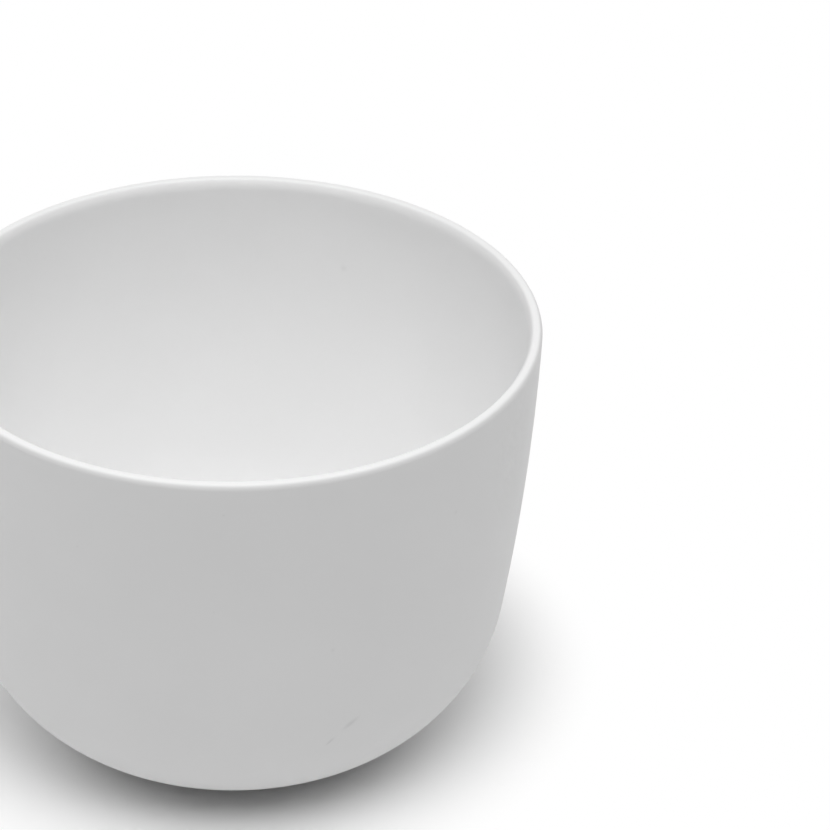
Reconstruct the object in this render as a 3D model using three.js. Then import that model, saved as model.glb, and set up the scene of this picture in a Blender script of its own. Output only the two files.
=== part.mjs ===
// A deep bowl: one slip-cast shell of even thickness, with a softened rim, a tall wall that bows
// gently outwards, a round belly and a low foot ring. Three coats of matt white glaze cover it:
// one poured inside, one dipped outside that laps over the rim, and one brushed under the base.
// The foot ring stays bare, because the bowl stands on it in the kiln and on the table.
// Millimetres, +Z up. The origin is on the table, at the bowl's axis.

import * as THREE from "three";

// Finished sizes, glaze included.
const RIM_DIAMETER = 150;
const HEIGHT = 114.5; // table to the top of the rim
const WALL = 3.4; // one thickness all over
const RIM_EDGE = 0.28 * WALL; // radius of the rim's two edges
const EASE_OUT = 0.62 * WALL; // radius of the softer turn from the outer edge into the wall
const EASE_IN = 1.47 * WALL; // radius of the softer turn from the inner edge into the wall
const EASE_TILT = 56; // degrees that an edge turns before the softer turn takes over
const WALL_FLARE = 2.15; // degrees that the wall leans out just below the rim
const WALL_BOW_RADIUS = 640; // long arc of the wall, from the rim down to the belly
const BELLY_RADIUS = 42.8; // arc that turns the wall into the base
const FOOT_DIAMETER = 64; // outside of the ring that the bowl stands on
const FOOT_WIDTH = 4.5;
const FOOT_HEIGHT = 2.2; // table to the underside of the base
const FOOT_CHAMFER = 0.5; // both edges of the ring, where it meets the table
const GLAZE = 0.35; // thickness of each coat
const RIM_LAP = 6; // how far the outside coat runs down the inside from the rim
const BARE_MARGIN = 1; // clay left bare between a coat's edge and the foot ring

// Facets of the round surfaces.
const SIDES = 60; // around the axis
const WALL_STEPS = 3;
const BELLY_STEPS = 7;
const RIM_STEPS = 3; // each of the rim's turns

// Every profile lies in the half plane of radius (x) and height (y).
// A direction that dips below the horizontal by an angle points out of the wall and belly.
const dipping = (angle) => new THREE.Vector2(Math.cos(angle), -Math.sin(angle));
const onArc = (centre, radius, angle) => dipping(angle).multiplyScalar(radius).add(centre);

// Points along an arc, first and last included.
function arc(centre, radius, from, to, steps) {
  const angles = Array.from({ length: steps + 1 }, (_, i) => THREE.MathUtils.lerp(from, to, i / steps));
  return angles.map((angle) => onArc(centre, radius, angle));
}

// The rim's edges, their softer turns, the wall's bow and the belly touch without a corner.
// The top of the rim gives the height of a softer turn, and the rim's diameter the place of the
// outer one. The wall's arc leaves that at the flare angle, and the belly's arc takes over at the
// turn angle that brings it level at the height of the base.
const level = Math.PI / 2;
const footRadius = FOOT_DIAMETER / 2;
const flare = THREE.MathUtils.degToRad(WALL_FLARE);
const easeTilt = THREE.MathUtils.degToRad(EASE_TILT);
const easeHeight = (radius) => HEIGHT - RIM_EDGE - (radius - RIM_EDGE) * Math.cos(easeTilt);
const easeOutCentre = new THREE.Vector2(RIM_DIAMETER / 2 - EASE_OUT, easeHeight(EASE_OUT));
const edgeOutCentre = onArc(easeOutCentre, EASE_OUT - RIM_EDGE, easeTilt - level);
const bowCentre = onArc(easeOutCentre, EASE_OUT - WALL_BOW_RADIUS, flare);
const bellyHeight = FOOT_HEIGHT + BELLY_RADIUS;
const turn = Math.asin((bowCentre.y - bellyHeight) / (WALL_BOW_RADIUS - BELLY_RADIUS));
const bellyCentre = onArc(bowCentre, WALL_BOW_RADIUS - BELLY_RADIUS, turn);

// The inner softer turn lies against the inner wall, which is the outer one moved in by its thickness.
const innerReach = WALL_BOW_RADIUS - WALL + EASE_IN;
const innerFlare = Math.asin((bowCentre.y - easeHeight(EASE_IN)) / innerReach);
const easeInCentre = onArc(bowCentre, innerReach, innerFlare);
const edgeInCentre = onArc(easeInCentre, EASE_IN - RIM_EDGE, -level - easeTilt);

// Where the outside coat stops: at the angle that puts its edge a bare margin outside the foot.
const coatEdge = footRadius + BARE_MARGIN;
const edgeAngle = Math.acos(Math.max(0, (coatEdge - bellyCentre.x) / BELLY_RADIUS));
const lapAngle = innerFlare + RIM_LAP / (WALL_BOW_RADIUS - WALL);

// The outside coat's surface, or the clay's under it, as a line inset from the finished bowl:
// from the foot up the belly and wall, over the rim, and down inside as far as the lap.
function outsideLine(inset) {
  const belly = arc(bellyCentre, BELLY_RADIUS - inset, edgeAngle, turn, BELLY_STEPS);
  const wall = arc(bowCentre, WALL_BOW_RADIUS - inset, turn, flare, WALL_STEPS);
  const easeOut = arc(easeOutCentre, EASE_OUT - inset, flare, easeTilt - level, RIM_STEPS);
  const edgeOut = arc(edgeOutCentre, RIM_EDGE - inset, easeTilt - level, -level, RIM_STEPS);
  const edgeIn = arc(edgeInCentre, RIM_EDGE - inset, -level, -level - easeTilt, RIM_STEPS);
  const easeIn = arc(easeInCentre, EASE_IN - inset, -level - easeTilt, innerFlare - Math.PI, RIM_STEPS);
  const lap = onArc(bowCentre, WALL_BOW_RADIUS - WALL + inset, lapAngle);
  const base = new THREE.Vector2(coatEdge, belly[0].y);
  const start = edgeAngle < level ? [] : [base];
  const rim = [...easeOut, ...edgeOut.slice(1), ...edgeIn, ...easeIn.slice(1)];
  return [...start, ...belly, ...wall.slice(1), ...rim.slice(1), lap];
}

// The same for the inside coat: from the middle of the floor up the belly and wall to the lap.
function insideLine(inset) {
  const middle = new THREE.Vector2(0, FOOT_HEIGHT + WALL - inset);
  const belly = arc(bellyCentre, BELLY_RADIUS - WALL + inset, level, turn, BELLY_STEPS);
  const wall = arc(bowCentre, WALL_BOW_RADIUS - WALL + inset, turn, lapAngle, WALL_STEPS);
  return [middle, ...belly, ...wall.slice(1)];
}

// The bare clay from the middle of the underside, round the foot ring, to the outside coat's edge.
function footLine() {
  const inner = footRadius - FOOT_WIDTH;
  const ceiling = FOOT_HEIGHT + GLAZE;
  const clayBelly = BELLY_RADIUS - GLAZE;
  const reach = Math.max(0, footRadius - bellyCentre.x);
  const top = bellyHeight - Math.sqrt(clayBelly ** 2 - reach ** 2);
  return [
    [0, ceiling],
    [inner, ceiling],
    [inner, FOOT_CHAMFER],
    [inner + FOOT_CHAMFER, 0],
    [footRadius - FOOT_CHAMFER, 0],
    [footRadius, FOOT_CHAMFER],
    [footRadius, top],
  ].map(([radius, height]) => new THREE.Vector2(radius, height));
}

// An outline that runs out along one line and back along another.
const between = (out, back) => [...out, ...back.reverse()];
const closed = (outline) => [...outline, outline[0].clone()];

// The disc of glaze under the base, with its edge drawn in like a bead.
function baseCoatOutline() {
  const radius = footRadius - FOOT_WIDTH - BARE_MARGIN;
  return [
    new THREE.Vector2(0, FOOT_HEIGHT),
    new THREE.Vector2(radius - GLAZE, FOOT_HEIGHT),
    new THREE.Vector2(radius, FOOT_HEIGHT + GLAZE),
    new THREE.Vector2(0, FOOT_HEIGHT + GLAZE),
  ];
}

// Bare clay is dull and slightly warm. The glaze is a neutral white, nearly matt.
const clayFinish = { color: 0xe2ded6, roughness: 0.85, metalness: 0 };
const glazeFinish = { color: 0xf0f0f0, roughness: 0.7, metalness: 0 };

// Turns an outline once round the axis. The lathe turns about +Y, so it is stood up along +Z.
function turned(name, outline, finish) {
  const geometry = new THREE.LatheGeometry(outline, SIDES).rotateX(Math.PI / 2);
  const mesh = new THREE.Mesh(geometry, new THREE.MeshStandardMaterial(finish));
  mesh.name = name;
  return mesh;
}

const clayOutside = [...footLine(), ...outsideLine(GLAZE)];
const clayInside = insideLine(GLAZE);
const clayOutline = between(clayOutside, clayInside.slice(0, -1));
const insideOutline = between(clayInside, insideLine(0));
const outsideOutline = closed(between(outsideLine(0), outsideLine(GLAZE)));

const bowl = new THREE.Group();
bowl.name = "deep_bowl";
bowl.add(
  turned("clay_body", clayOutline, clayFinish),
  turned("inside_glaze", insideOutline, glazeFinish),
  turned("outside_glaze", outsideOutline, glazeFinish),
  turned("base_glaze", baseCoatOutline(), glazeFinish),
);

export default bowl;
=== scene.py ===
# %% [markdown]
# # A deep white bowl
# This lesson dresses a deep bowl for a product picture. The real bowl is one shell of cast and fired
# clay. It stands on a bare foot ring, and three coats of matt white glaze cover the rest of it. The
# measured model is loaded first, as a fixed frame with plain facets. The clay and each coat are then
# modelled again as smooth pieces of the same sizes, because a faceted rim would show at once in a soft
# highlight.

# %% Load the measured bowl
import math

import bpy
from mathutils import Matrix, Vector


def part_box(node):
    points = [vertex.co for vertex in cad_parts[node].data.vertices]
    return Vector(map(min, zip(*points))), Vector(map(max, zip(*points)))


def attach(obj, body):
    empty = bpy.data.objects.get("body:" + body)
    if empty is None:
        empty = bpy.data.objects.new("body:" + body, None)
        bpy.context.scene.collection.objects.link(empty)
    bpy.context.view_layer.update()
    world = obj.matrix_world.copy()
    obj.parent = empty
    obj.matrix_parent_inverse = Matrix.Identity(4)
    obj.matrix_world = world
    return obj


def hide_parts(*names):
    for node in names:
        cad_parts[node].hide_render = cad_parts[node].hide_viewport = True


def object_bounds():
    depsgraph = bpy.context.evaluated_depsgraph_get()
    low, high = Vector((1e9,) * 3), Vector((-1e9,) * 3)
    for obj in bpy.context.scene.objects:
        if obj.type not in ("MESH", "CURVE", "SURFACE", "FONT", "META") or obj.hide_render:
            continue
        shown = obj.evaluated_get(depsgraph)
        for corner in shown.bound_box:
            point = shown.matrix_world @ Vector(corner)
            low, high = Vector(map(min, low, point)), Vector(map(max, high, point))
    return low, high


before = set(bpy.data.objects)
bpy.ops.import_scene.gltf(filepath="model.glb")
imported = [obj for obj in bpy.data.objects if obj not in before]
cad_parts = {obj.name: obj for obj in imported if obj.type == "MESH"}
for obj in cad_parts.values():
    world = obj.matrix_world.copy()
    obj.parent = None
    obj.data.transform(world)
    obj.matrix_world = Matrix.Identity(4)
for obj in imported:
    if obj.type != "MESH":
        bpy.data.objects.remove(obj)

measured_low, measured_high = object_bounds()
print("measured bowl:", [round(side * 1000, 1) for side in measured_high - measured_low], "mm")

# %% [markdown]
# ## The section
# A bowl is a body of revolution, so one line in a half plane holds its whole shape. Here X is the
# distance from the axis and Z is the height. The line has a few arcs that touch without a corner. Each
# edge of the flat rim is a small radius that eases into the wall by a softer turn. Then come the long
# bow of the wall and the belly that turns the wall into the base. The line could be traced by eye with a
# Bezier curve, but arcs have exact centres, and every surface inside the shell is then the same line
# with other radii. The overall sizes come from the frame. What a box can't tell, such as the wall's
# thickness, is a named value in metres.

# %% Sizes of the section
rim_radius = round(measured_high.x, 4)
height = round(measured_high.z, 4)
wall = 0.0034
rim_edge = 0.28 * wall
ease_out = 0.62 * wall
ease_in = 1.47 * wall
ease_tilt = math.radians(56)
flare = math.radians(2.15)
bow_radius = 0.64
belly_radius = 0.0428

base_low, base_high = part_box("base_glaze")
base_level = round(base_low.z, 5)
coat = round(base_high.z - base_low.z, 5)
print("wall:", round(wall * 1000, 2), "mm, coat of glaze:", round(coat * 1000, 2), "mm")

# %% [markdown]
# ## Centres of the arcs
# Two arcs touch without a corner when their centres and the point where they meet lie on one line. So
# one centre leads to the next. The rim's radius and height place the outer soft turn. The small edge and
# the bow of the wall follow from it, and the inner soft turn and the belly follow from the bow. The
# joins could be smoothed by eye, but a soft highlight shows even a small kink.

# %% Find the centres of the arcs
level = math.pi / 2


def dipping(angle):
    """The direction in the half plane that dips below the horizontal by an angle."""
    return Vector((math.cos(angle), 0, -math.sin(angle)))


def ease_height(radius):
    """The height of the centre of a soft turn that runs into the rim's edge."""
    return height - rim_edge - (radius - rim_edge) * math.cos(ease_tilt)


ease_out_centre = Vector((rim_radius - ease_out, 0, ease_height(ease_out)))
edge_out_centre = ease_out_centre + dipping(ease_tilt - level) * (ease_out - rim_edge)
bow_centre = ease_out_centre + dipping(flare) * (ease_out - bow_radius)
inner_reach = bow_radius - wall + ease_in
inner_flare = math.asin((bow_centre.z - ease_height(ease_in)) / inner_reach)
ease_in_centre = bow_centre + dipping(inner_flare) * inner_reach
edge_in_centre = ease_in_centre + dipping(-level - ease_tilt) * (ease_in - rim_edge)
rim_flat = edge_out_centre.x - edge_in_centre.x
belly_drop = bow_centre.z - base_level - belly_radius
turn = math.asin(belly_drop / (bow_radius - belly_radius))
belly_centre = bow_centre + dipping(turn) * (bow_radius - belly_radius)
print("wall turns into the belly", round(math.degrees(turn), 2), "degrees from upright")
print("the rim is flat for", round(rim_flat * 1000, 2), "mm between its soft edges")

# %% [markdown]
# ## Drawing with one vertex
# A section can be drawn as by hand. A small plane is added and merged at its centre, which leaves a
# single vertex. Spin then carries that vertex round the centre of an arc and leaves a line behind it,
# and extrude carries it along a straight stretch. Both leave only the new end selected, so the next
# stretch goes on from there. At the end the whole line is spun once about the axis. A Screw modifier
# would also turn it, but spin keeps all of it in edit mode.

# %% Tools for drawing and turning a section
sides = 256
merge_distance = 1e-6


def start_section(name, point):
    """Adds a piece that is one vertex, and stays in edit mode with that vertex selected."""
    bpy.ops.object.select_all(action="DESELECT")
    bpy.ops.mesh.primitive_plane_add(size=coat, location=point)
    piece = bpy.context.object
    piece.name = name
    piece.data.name = name
    bpy.ops.object.transform_apply(location=True, rotation=False, scale=False)
    bpy.ops.object.mode_set(mode="EDIT")
    bpy.ops.mesh.select_mode(type="VERT")
    bpy.ops.mesh.select_all(action="SELECT")
    bpy.ops.mesh.merge(type="CENTER")
    return piece


def draw_arc(centre, sweep, steps):
    """Carries the end of the line round a centre. A positive sweep goes from +X towards +Z."""
    bpy.ops.mesh.spin(steps=steps, angle=sweep, center=centre, axis=(0, 1, 0))


def draw_line(across, up, steps):
    """Carries the end of the line straight on, in even steps."""
    step = (across / steps, 0, up / steps)
    for _ in range(steps):
        bpy.ops.mesh.extrude_region_move(TRANSFORM_OT_translate={"value": step})


def turn_round(piece):
    """Spins the whole line about the bowl's axis and closes the seam and the poles."""
    bpy.ops.mesh.select_all(action="SELECT")
    bpy.ops.mesh.spin(steps=sides, angle=math.tau, center=(0, 0, 0), axis=(0, 0, 1))
    bpy.ops.mesh.select_all(action="SELECT")
    bpy.ops.mesh.remove_doubles(threshold=merge_distance)
    bpy.ops.mesh.normals_make_consistent(inside=False)
    bpy.ops.object.mode_set(mode="OBJECT")
    print(piece.name, "turned:", len(piece.data.vertices), "vertices")


print("sections are turned in", sides, "steps")

# %% [markdown]
# ## Thickness and soft edges
# A turned line is only a skin, so Solidify gives it the thickness of a coat of glaze. Corners that are
# soft on the real bowl are bevelled. Each corner of the section is a ring of edges by now, and it is
# found by its radius and height. Rings could be picked by number, but the numbers change with every step
# of the drawing. Smooth shading stops at a limit angle, so the corners that are left stay crisp.

# %% Tools for thickness and soft edges
ring_tolerance = merge_distance * 10
crisp_angle = math.radians(40)


def give_thickness(piece, offset):
    """Makes a shell of the coat's thickness: behind the faces at offset -1, in front of them at +1."""
    shell = piece.modifiers.new("thickness", "SOLIDIFY")
    shell.thickness = coat
    shell.offset = offset
    shell.use_even_offset = True
    bpy.ops.object.modifier_apply(modifier=shell.name)


def select_rings(piece, places):
    """Goes to edit mode with the edges selected that run round the axis at these radii and heights."""
    bpy.ops.object.mode_set(mode="EDIT")
    bpy.ops.mesh.select_mode(type="EDGE")
    bpy.ops.mesh.select_all(action="DESELECT")
    bpy.ops.object.mode_set(mode="OBJECT")
    spots = [(math.hypot(vertex.co.x, vertex.co.y), vertex.co.z) for vertex in piece.data.vertices]
    for radius, up in places:
        on_ring = [math.hypot(spot[0] - radius, spot[1] - up) < ring_tolerance for spot in spots]
        for edge in piece.data.edges:
            edge.select = edge.select or all(on_ring[end] for end in edge.vertices)
    found = sum(edge.select for edge in piece.data.edges)
    bpy.ops.object.mode_set(mode="EDIT")
    return found


def round_rings(piece, places, size, segments):
    """Bevels the edges that run round the axis at these radii and heights."""
    found = select_rings(piece, places)
    bpy.ops.mesh.bevel(offset=size, segments=segments, affect="EDGES")
    bpy.ops.mesh.select_all(action="SELECT")
    bpy.ops.mesh.remove_doubles(threshold=merge_distance)
    bpy.ops.object.mode_set(mode="OBJECT")
    print(piece.name, "rounded:", found, "edges")


def shade(piece):
    """Smooth shading, with the sharp corners of the section kept."""
    bpy.ops.object.select_all(action="DESELECT")
    piece.select_set(True)
    bpy.context.view_layer.objects.active = piece
    bpy.ops.object.shade_smooth_by_angle(angle=crisp_angle)


print("rings are found to", round(ring_tolerance * 1000, 3), "mm")

# %% [markdown]
# ## The outside coat
# The outside of such a bowl is dipped in glaze. The coat starts a little above the foot ring, runs up
# the belly and the wall, goes over the rim and ends a few millimetres down inside. The rim was cut level
# and its edges were sponged soft. It is drawn as a short flat with two arcs on either side: a small one
# for the edge and a larger one that eases it into the wall. The thickness goes towards the clay, so the
# finished face stays exactly where it was drawn. The lower edge of a real coat is a soft bead, because
# glaze draws itself in as it melts, so that edge gets a small bevel.

# %% Model the outside coat
foot_radius = 0.032
bare_margin = 0.001
rim_lap = 0.006
belly_steps = 40
bow_steps = 24
edge_steps = 10
rim_steps = 2
lap_steps = 3
bead_size = coat * 0.9
bead_segments = 4

edge_angle = math.acos((foot_radius + bare_margin - belly_centre.x) / belly_radius)
lap_angle = inner_flare + rim_lap / (bow_radius - wall)


def draw_rim():
    """Carries the line from the top of the outer wall over the rim to the top of the inner wall."""
    draw_arc(ease_out_centre, level - ease_tilt + flare, edge_steps)
    draw_arc(edge_out_centre, ease_tilt, edge_steps)
    draw_line(-rim_flat, 0, rim_steps)
    draw_arc(edge_in_centre, ease_tilt, edge_steps)
    draw_arc(ease_in_centre, level - ease_tilt - inner_flare, edge_steps)


coat_edge = belly_centre + dipping(edge_angle) * belly_radius
outside_coat = start_section("outside_coat", coat_edge)
draw_arc(belly_centre, edge_angle - turn, belly_steps)
draw_arc(bow_centre, turn - flare, bow_steps)
draw_rim()
draw_arc(bow_centre, inner_flare - lap_angle, lap_steps)
turn_round(outside_coat)
give_thickness(outside_coat, -1)
round_rings(outside_coat, [(coat_edge.x, coat_edge.z)], bead_size, bead_segments)
shade(outside_coat)

# %% [markdown]
# ## The inside coat
# The inside is glazed first, by pouring glaze in and out again. Its surface starts at the middle of the
# floor, runs out flat, and climbs the belly and the wall until it meets the outside coat. The two coats
# share the same points where they meet, on a stretch that is nearly straight, so no line shows there. An
# open cup has its normals recalculated towards the clay, so here Solidify builds in front of the faces.

# %% Model the inside coat
flat_steps = 8

floor_level = base_level + wall
inside_coat = start_section("inside_coat", (0, 0, floor_level))
draw_line(belly_centre.x, 0, flat_steps)
draw_arc(belly_centre, level - turn, belly_steps)
draw_arc(bow_centre, turn - lap_angle, bow_steps)
turn_round(inside_coat)
give_thickness(inside_coat, 1)
shade(inside_coat)

# %% [markdown]
# ## The clay shell
# Under the glaze is the clay itself, which shows only at the foot: the ring that the bowl stands on is
# wiped clean so that it doesn't stick to the kiln shelf. Its section is drawn in one go, from the middle
# of the underside, round the square corners of the foot ring, up the outside, over the rim and down
# again to the middle of the floor. The corners are then softened with a bevel, as a damp sponge softens
# them on the real ring.

# %% Model the clay shell
foot_width = 0.0045
foot_softness = 0.0005
foot_segments = 4
foot_steps = 2

clay_ceiling = base_level + coat
foot_inner = foot_radius - foot_width
clay_belly = belly_radius - coat
foot_angle = math.acos((foot_radius - belly_centre.x) / clay_belly)
foot_top = belly_centre.z - clay_belly * math.sin(foot_angle)

clay_shell = start_section("clay_shell", (0, 0, clay_ceiling))
draw_line(foot_inner, 0, flat_steps)
draw_line(0, -clay_ceiling, foot_steps)
draw_line(foot_width, 0, foot_steps)
draw_line(0, foot_top, foot_steps)
draw_arc(belly_centre, foot_angle - turn, belly_steps)
draw_arc(bow_centre, turn - flare, bow_steps)
draw_rim()
draw_arc(bow_centre, inner_flare - turn, bow_steps)
draw_arc(belly_centre, turn - level, belly_steps)
draw_line(-belly_centre.x, 0, flat_steps)
turn_round(clay_shell)
foot_corners = [(foot_inner, 0), (foot_radius, 0), (foot_inner, clay_ceiling), (foot_radius, foot_top)]
round_rings(clay_shell, foot_corners, foot_softness, foot_segments)
shade(clay_shell)

# %% [markdown]
# ## The coat under the base
# Inside the foot ring the base is glazed with a brush. The coat is a thin disc with a rounded edge, and
# it stops a little short of the ring. It could be a scaled cylinder, but its edge would be a hard step,
# so it is drawn and turned like the others: out along the underside, round the bead, and back along the
# clay.

# %% Model the coat under the base
base_steps = 6
base_bead_steps = 8

base_radius = round(base_high.x, 4)
base_coat = start_section("base_coat", (0, 0, base_level))
draw_line(base_radius - coat, 0, base_steps)
draw_arc((base_radius - coat, 0, clay_ceiling), level, base_bead_steps)
draw_line(-base_radius, 0, base_steps)
turn_round(base_coat)
shade(base_coat)

# %% [markdown]
# ## Nodes in code
# In the Shader Editor a material is wired by hand. The same few moves come back in every material here,
# so they are helpers: a new material, a node with its settings, a noise, and the range that a noise may
# move in. Every pattern is read from Object coordinates, which start at the bowl's own origin, so it
# runs on from one coat to the next without a seam. Generated coordinates would stretch a pattern to the
# box of each piece.

# %% Tools for materials
noise_low = 0.3
noise_high = 0.7


def new_material(name):
    """A material with a plain Principled shader, and its node tree."""
    material = bpy.data.materials.new(name)
    material.use_nodes = True
    return material, material.node_tree


def add(tree, kind, settings=None, **properties):
    """Adds a node, sets its properties and the values of its named sockets."""
    made = tree.nodes.new(kind)
    for name, value in properties.items():
        setattr(made, name, value)
    for name, value in (settings or {}).items():
        made.inputs[name].default_value = value
    return made


def noise(tree, place, scale, detail):
    """Noise on Object coordinates, with features about 1/scale metres across."""
    made = add(tree, "ShaderNodeTexNoise", {"Scale": scale, "Detail": detail})
    tree.links.new(place.outputs["Object"], made.inputs["Vector"])
    return made.outputs["Fac"]


def spread(tree, value, low, high):
    """Maps a noise value's middle range to a range of its own."""
    ends = {"From Min": noise_low, "From Max": noise_high, "To Min": low, "To Max": high}
    made = add(tree, "ShaderNodeMapRange", ends)
    tree.links.new(value, made.inputs["Value"])
    return made.outputs["Result"]


print("noise is spread from", noise_low, "to", noise_high)

# %% [markdown]
# ## Matt glaze
# This glaze is fired nearly matt. It is white, and it spreads a reflection so widely that no highlight
# stands out. It only gets a little brighter towards the sides of the bowl, where the eye meets it at a
# low angle. Up close it is not even: the coat is a little cloudy, its sheen varies, and its surface has
# long shallow waves with a fine orange peel on them. An even colour and sheen would look like plastic.

# %% Make the matt glaze
glaze_ior = 1.5
cloud_scale = 25
cloud_tones = (0.91, 0.93)
sheen_scale = 90
sheen_range = (0.49, 0.57)
relief = 0.2
wave_scale = 70
wave_height = 0.0002
peel_scale = 900
peel_height = 0.00002

matt_glaze, tree = new_material("white_matt_glaze")
shader = tree.nodes["Principled BSDF"]
shader.inputs["IOR"].default_value = glaze_ior
place = add(tree, "ShaderNodeTexCoord")

cloud = spread(tree, noise(tree, place, cloud_scale, detail=3), *cloud_tones)
sheen = spread(tree, noise(tree, place, sheen_scale, detail=2), *sheen_range)
tree.links.new(sheen, shader.inputs["Roughness"])

waves = add(tree, "ShaderNodeBump", {"Strength": relief, "Distance": wave_height})
tree.links.new(noise(tree, place, wave_scale, detail=1), waves.inputs["Height"])
peel = add(tree, "ShaderNodeBump", {"Strength": relief, "Distance": peel_height})
tree.links.new(noise(tree, place, peel_scale, detail=2), peel.inputs["Height"])
tree.links.new(waves.outputs["Normal"], peel.inputs["Normal"])
print("matt glaze:", len(tree.nodes), "nodes, before its marks and ripples")

# %% [markdown]
# ## Marks in the glaze
# No fired coat is flawless. A few grains of iron show as faint specks, and a short scuff of two strokes
# runs low across the front. Each mark is given by its angle round the axis and its height, and the
# section says how far out the wall is there. The mark itself is an ellipsoid on Object coordinates: a
# Mapping node moves, turns and shrinks it to a ball with a radius of 1, and the distance from its middle
# darkens the coat. Painted marks would need an image.

# %% Add the marks to the glaze
belly_top = belly_centre.z - belly_radius * math.sin(turn)
speck_depth = 0.05
stroke_depth = 0.1
stroke_reach = 0.001


def on_wall(degrees, up, inset=0):
    """The point of the outer wall at an angle and a height, or the one that lies an inset further in."""
    centre, radius = (bow_centre, bow_radius) if up > belly_top else (belly_centre, belly_radius)
    out = centre.x + math.sqrt((radius - inset) ** 2 - (up - centre.z) ** 2)
    angle = math.radians(degrees)
    return Vector((out * math.cos(angle), out * math.sin(angle), up))


def patch(spot, angles, size, middle, outside):
    """A value that eases from one number in the middle of an ellipsoid to another at its edge."""
    local = add(tree, "ShaderNodeMapping", vector_type="TEXTURE")
    local.inputs["Location"].default_value = spot
    local.inputs["Rotation"].default_value = angles
    local.inputs["Scale"].default_value = size
    tree.links.new(place.outputs["Object"], local.inputs["Vector"])
    off = add(tree, "ShaderNodeVectorMath", operation="LENGTH")
    tree.links.new(local.outputs["Vector"], off.inputs["Vector"])
    eased = add(tree, "ShaderNodeMapRange", {"To Min": middle, "To Max": outside})
    eased.interpolation_type = "SMOOTHSTEP"
    tree.links.new(off.outputs["Value"], eased.inputs["Value"])
    return eased.outputs["Result"]


def add_mark(tone, spot, angles, size, depth):
    """Darkens a tone of the glaze inside an ellipsoid, most in its middle."""
    darker = add(tree, "ShaderNodeMath", operation="MULTIPLY")
    tree.links.new(tone, darker.inputs[0])
    tree.links.new(patch(spot, angles, size, 1 - depth, 1), darker.inputs[1])
    return darker.outputs["Value"]


specks = [
    (on_wall(66, 0.0923, inset=wall), 0.0013),
    (on_wall(-45.6, 0.0926), 0.0009),
    (on_wall(-92, 0.1065), 0.0006),
    (on_wall(-119.6, 0.0915), 0.0005),
    (on_wall(-94, 0.0784), 0.0004),
    (on_wall(-71.4, 0.0639), 0.0008),
]
strokes = [
    (on_wall(-68.8, 0.0364), on_wall(-63.8, 0.0409), 0.001),
    (on_wall(-71.8, 0.0323), on_wall(-69.1, 0.0358), 0.0006),
]
tone = cloud
for spot, radius in specks:
    tone = add_mark(tone, spot, (0, 0, 0), (radius, radius, radius), speck_depth)
for start, end, width in strokes:
    along = end - start
    angles = along.to_track_quat("X", "Z").to_euler()
    tone = add_mark(tone, (start + end) / 2, angles, (along.length / 2, stroke_reach, width), stroke_depth)
tint = add(tree, "ShaderNodeCombineColor")
for channel in ("Red", "Green", "Blue"):
    tree.links.new(tone, tint.inputs[channel])
tree.links.new(tint.outputs["Color"], shader.inputs["Base Color"])
print("marks:", len(specks), "specks and", len(strokes), "strokes of a scuff")

# %% [markdown]
# ## Ripples
# On the right of the wall, below the rim, the wet glaze ran a little and set in shallow ripples a few
# millimetres long. The same ellipsoid says where they are. Here its value is the strength of a third
# bump, which is laid over the waves and the peel, so the ripples die away at the edge of their patch.
# They could be modelled in the mesh, but it would need much smaller faces there.

# %% Add the ripples to the glaze
ripple_spot = on_wall(-27, 0.094)
ripple_reach = (0.016, 0.016, 0.024)
ripple_scale = 300
ripple_height = 0.0008

ripples = add(tree, "ShaderNodeBump", {"Distance": ripple_height})
tree.links.new(patch(ripple_spot, (0, 0, 0), ripple_reach, 1, 0), ripples.inputs["Strength"])
tree.links.new(noise(tree, place, ripple_scale, detail=2), ripples.inputs["Height"])
tree.links.new(peel.outputs["Normal"], ripples.inputs["Normal"])
tree.links.new(ripples.outputs["Normal"], shader.inputs["Normal"])
print("ripples round", [round(side * 1000) for side in ripple_spot], "mm")

# %% [markdown]
# ## Bare clay
# Where no glaze covers it, fired clay is dull and slightly warm, with the grain of fine sand. It takes
# no highlight, so its roughness is high. The grain is a noise that runs between two tones of clay, and a
# finer one is its bump.

# %% Make the bare clay
clay_dark = (0.66, 0.62, 0.55, 1)
clay_light = (0.78, 0.75, 0.69, 1)
clay_roughness = 0.85
grain_scale = 1200
grain_low = 0.35
grain_high = 0.65
sand_scale = 2500
sand_relief = 0.4
sand_height = 0.0001

bare_clay, tree = new_material("dry_fired_clay")
shader = tree.nodes["Principled BSDF"]
shader.inputs["Roughness"].default_value = clay_roughness
place = add(tree, "ShaderNodeTexCoord")
grain = add(tree, "ShaderNodeValToRGB")
grain.color_ramp.elements[0].position = grain_low
grain.color_ramp.elements[0].color = clay_dark
grain.color_ramp.elements[1].position = grain_high
grain.color_ramp.elements[1].color = clay_light
tree.links.new(noise(tree, place, grain_scale, detail=4), grain.inputs["Fac"])
tree.links.new(grain.outputs["Color"], shader.inputs["Base Color"])
sand = add(tree, "ShaderNodeBump", {"Strength": sand_relief, "Distance": sand_height})
tree.links.new(noise(tree, place, sand_scale, detail=3), sand.inputs["Height"])
tree.links.new(sand.outputs["Normal"], shader.inputs["Normal"])
print("bare clay:", len(tree.nodes), "nodes")
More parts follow.
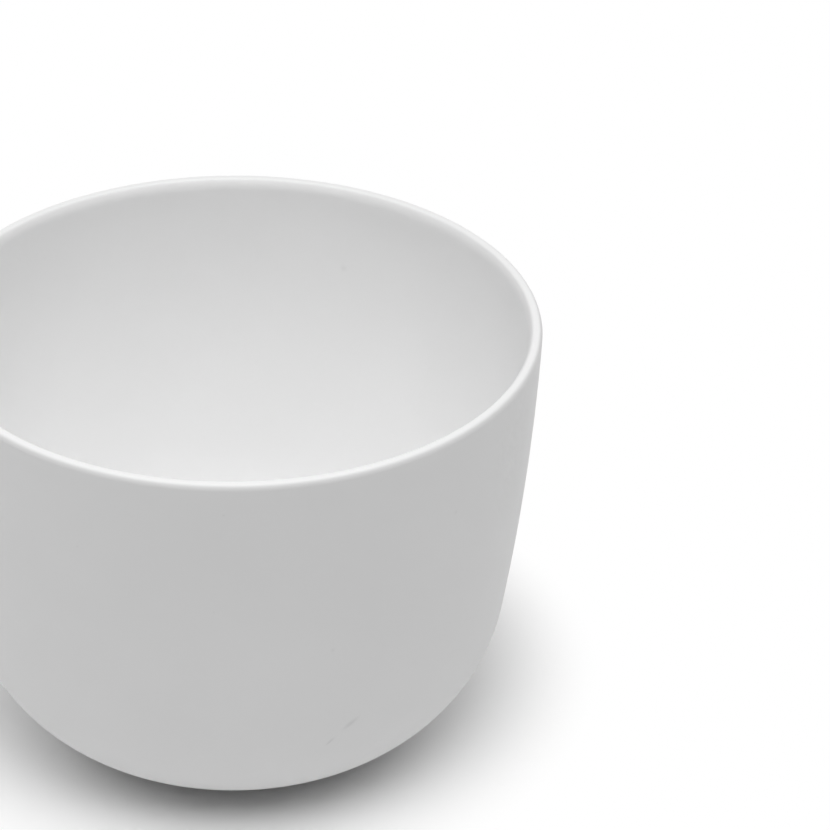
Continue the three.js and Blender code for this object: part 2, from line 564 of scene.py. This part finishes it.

# %% [markdown]
# ## Fitting the pieces to the frame
# Each finished piece takes its material and stands for the faceted solid it was modelled on, which is
# hidden. It rides on an empty for the bowl's one body.

# %% Fit the pieces to the frame
pieces = [
    (clay_shell, "clay_body", bare_clay, "bare_clay"),
    (inside_coat, "inside_glaze", matt_glaze, "matt_glaze"),
    (outside_coat, "outside_glaze", matt_glaze, "matt_glaze"),
    (base_coat, "base_glaze", matt_glaze, "matt_glaze"),
]
for piece, solid, material, slot in pieces:
    piece.data.materials.append(material)
    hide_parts(solid)
    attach(piece, "root")
    print(piece.name, "stands for", solid)

# %% [markdown]
# ## What the eye sees
# The floor and the room of a product picture are pure white, but if they shed that much light, the bowl
# would lose its shading. Light Path tells the rays apart: those that the eye follows, straight or by a
# reflection, and those that only gather light. A Mix Shader can then show one surface and light with
# another. Brighter lamps would also make the floor white, but the rim and the inside of the bowl would
# clip to white with it.

# %% Tools for surfaces that show and shed different light
white = (1, 1, 1, 1)


def shown_to_the_eye(tree):
    """1 for rays from the camera and for reflected and refracted ones, 0 for rays that gather light."""
    path = add(tree, "ShaderNodeLightPath")
    reflected = add(tree, "ShaderNodeMath", operation="MAXIMUM")
    tree.links.new(path.outputs["Is Glossy Ray"], reflected.inputs[0])
    tree.links.new(path.outputs["Is Transmission Ray"], reflected.inputs[1])
    either = add(tree, "ShaderNodeMath", operation="MAXIMUM")
    tree.links.new(path.outputs["Is Camera Ray"], either.inputs[0])
    tree.links.new(reflected.outputs["Value"], either.inputs[1])
    return either.outputs["Value"]


def mix(tree, share, first, second):
    """Mixes two shaders: the first at a share of 0, the second at 1."""
    made = add(tree, "ShaderNodeMixShader")
    tree.links.new(share, made.inputs["Fac"])
    tree.links.new(first, made.inputs[1])
    tree.links.new(second, made.inputs[2])
    return made.outputs["Shader"]


print("shown white:", white)

# %% [markdown]
# ## The floor
# The bowl stands on a sheet of white paper. As a source of light it is plain paper that gives back most
# of what it gets. To the camera, and in reflections, it is pure white: a diffuse white near the bowl, so
# that the soft shadow stays, which fades into shadeless white further out, so that no horizon shows. The
# fade has its middle a little behind the bowl's axis, because the lamp hangs in front and the shadow
# falls that way.

# %% Lay the floor
floor_size = 8
floor_gap = 0.0001
paper_tone = (0.94, 0.94, 0.94, 1)
shadow_middle = (-0.0025, 0.019, 0)
shadow_reach = 0.06
white_reach = 0.098

bpy.ops.object.select_all(action="DESELECT")
bpy.ops.mesh.primitive_plane_add(size=floor_size, location=(0, 0, -floor_gap))
floor = bpy.context.object
floor.name = "studio_floor"
bpy.ops.object.transform_apply(location=True, rotation=False, scale=False)

white_floor, tree = new_material("white_floor")
white_floor.cycles.emission_sampling = "NONE"
tree.nodes.remove(tree.nodes["Principled BSDF"])
paper = add(tree, "ShaderNodeBsdfDiffuse", {"Color": paper_tone})
white_paper = add(tree, "ShaderNodeBsdfDiffuse", {"Color": white})
plain_white = add(tree, "ShaderNodeEmission", {"Color": white, "Strength": 1})
place = add(tree, "ShaderNodeTexCoord")
away = add(tree, "ShaderNodeVectorMath", operation="DISTANCE")
away.inputs[1].default_value = shadow_middle
tree.links.new(place.outputs["Object"], away.inputs[0])
fade = add(tree, "ShaderNodeMapRange", {"From Min": shadow_reach, "From Max": white_reach})
fade.interpolation_type = "SMOOTHSTEP"
tree.links.new(away.outputs["Value"], fade.inputs["Value"])
shown = mix(tree, fade.outputs["Result"], white_paper.outputs["BSDF"], plain_white.outputs["Emission"])
surface = mix(tree, shown_to_the_eye(tree), paper.outputs["BSDF"], shown)
tree.links.new(surface, tree.nodes["Material Output"].inputs["Surface"])
floor.data.materials.append(white_floor)
print("floor:", floor_size, "m across, white from", white_reach * 1000, "mm off the shadow's middle")

# %% [markdown]
# ## The light
# One wide softbox hangs level over the table, a little in front of the bowl and a little to its left. It
# is large and near, so the shadow is soft all round and the inside of the bowl gets its full share of
# light. The wall that faces the camera gets most of its light from the paper. The room itself adds very
# little. As with the floor, Light Path shows the room as plain white, while the light that it sheds
# stays low.

# %% Hang the softbox and light the room
softbox_place = (-0.05, -0.19, 0.75)
softbox_width = 1.7
softbox_depth = 1.0
softbox_watts = 9.6
room_light = 0.01

lamp = bpy.data.lights.new("softbox", "AREA")
lamp.shape = "RECTANGLE"
lamp.size = softbox_width
lamp.size_y = softbox_depth
lamp.energy = softbox_watts
softbox = bpy.data.objects.new("softbox", lamp)
softbox.location = softbox_place
bpy.context.scene.collection.objects.link(softbox)

room = bpy.data.worlds.new("pale_room")
room.use_nodes = True
tree = room.node_tree
shed = tree.nodes["Background"]
shed.inputs["Color"].default_value = white
shed.inputs["Strength"].default_value = room_light
seen = add(tree, "ShaderNodeBackground", {"Color": white, "Strength": 1})
surface = mix(tree, shown_to_the_eye(tree), shed.outputs["Background"], seen.outputs["Background"])
tree.links.new(surface, tree.nodes["World Output"].inputs["Surface"])
bpy.context.scene.world = room
bpy.context.scene.view_settings.view_transform = "Standard"
print("softbox:", softbox_watts, "W, room:", room_light)

# %% [markdown]
# ## Camera
# The picture is taken from about a metre away with a long lens, looking down into the bowl by a little
# over a third of a right angle. The bowl fills the lower left of the frame and runs out of it, so the
# camera is panned and tilted off the bowl's axis. It could also be aimed straight and shifted, but then
# other views of the bowl would be off centre.

# %% Place the camera
camera_distance = 0.975
camera_elevation = math.radians(33.06)
camera_pan = math.radians(2.658)
camera_tilt = math.radians(1.437)
camera_roll = math.radians(-0.48)
lens_mm = 168.83
sensor_mm = 36
aim_drop = 0.75 * rim_radius
aim = Vector((0, 0, height - aim_drop))

camera = bpy.data.cameras.new("product_camera")
camera.lens = lens_mm
camera.sensor_width = sensor_mm
camera_object = bpy.data.objects.new("product_camera", camera)
bpy.context.scene.collection.objects.link(camera_object)
back = Vector((0, -math.cos(camera_elevation), math.sin(camera_elevation)))
camera_object.matrix_world = (
    Matrix.Translation(aim + back * camera_distance)
    @ Matrix.Rotation(level - camera_elevation, 4, "X")
    @ Matrix.Rotation(-camera_pan, 4, "Y")
    @ Matrix.Rotation(camera_tilt, 4, "X")
    @ Matrix.Rotation(camera_roll, 4, "Z")
)
bpy.context.scene.camera = camera_object
print("camera at", [round(c, 3) for c in camera_object.location])
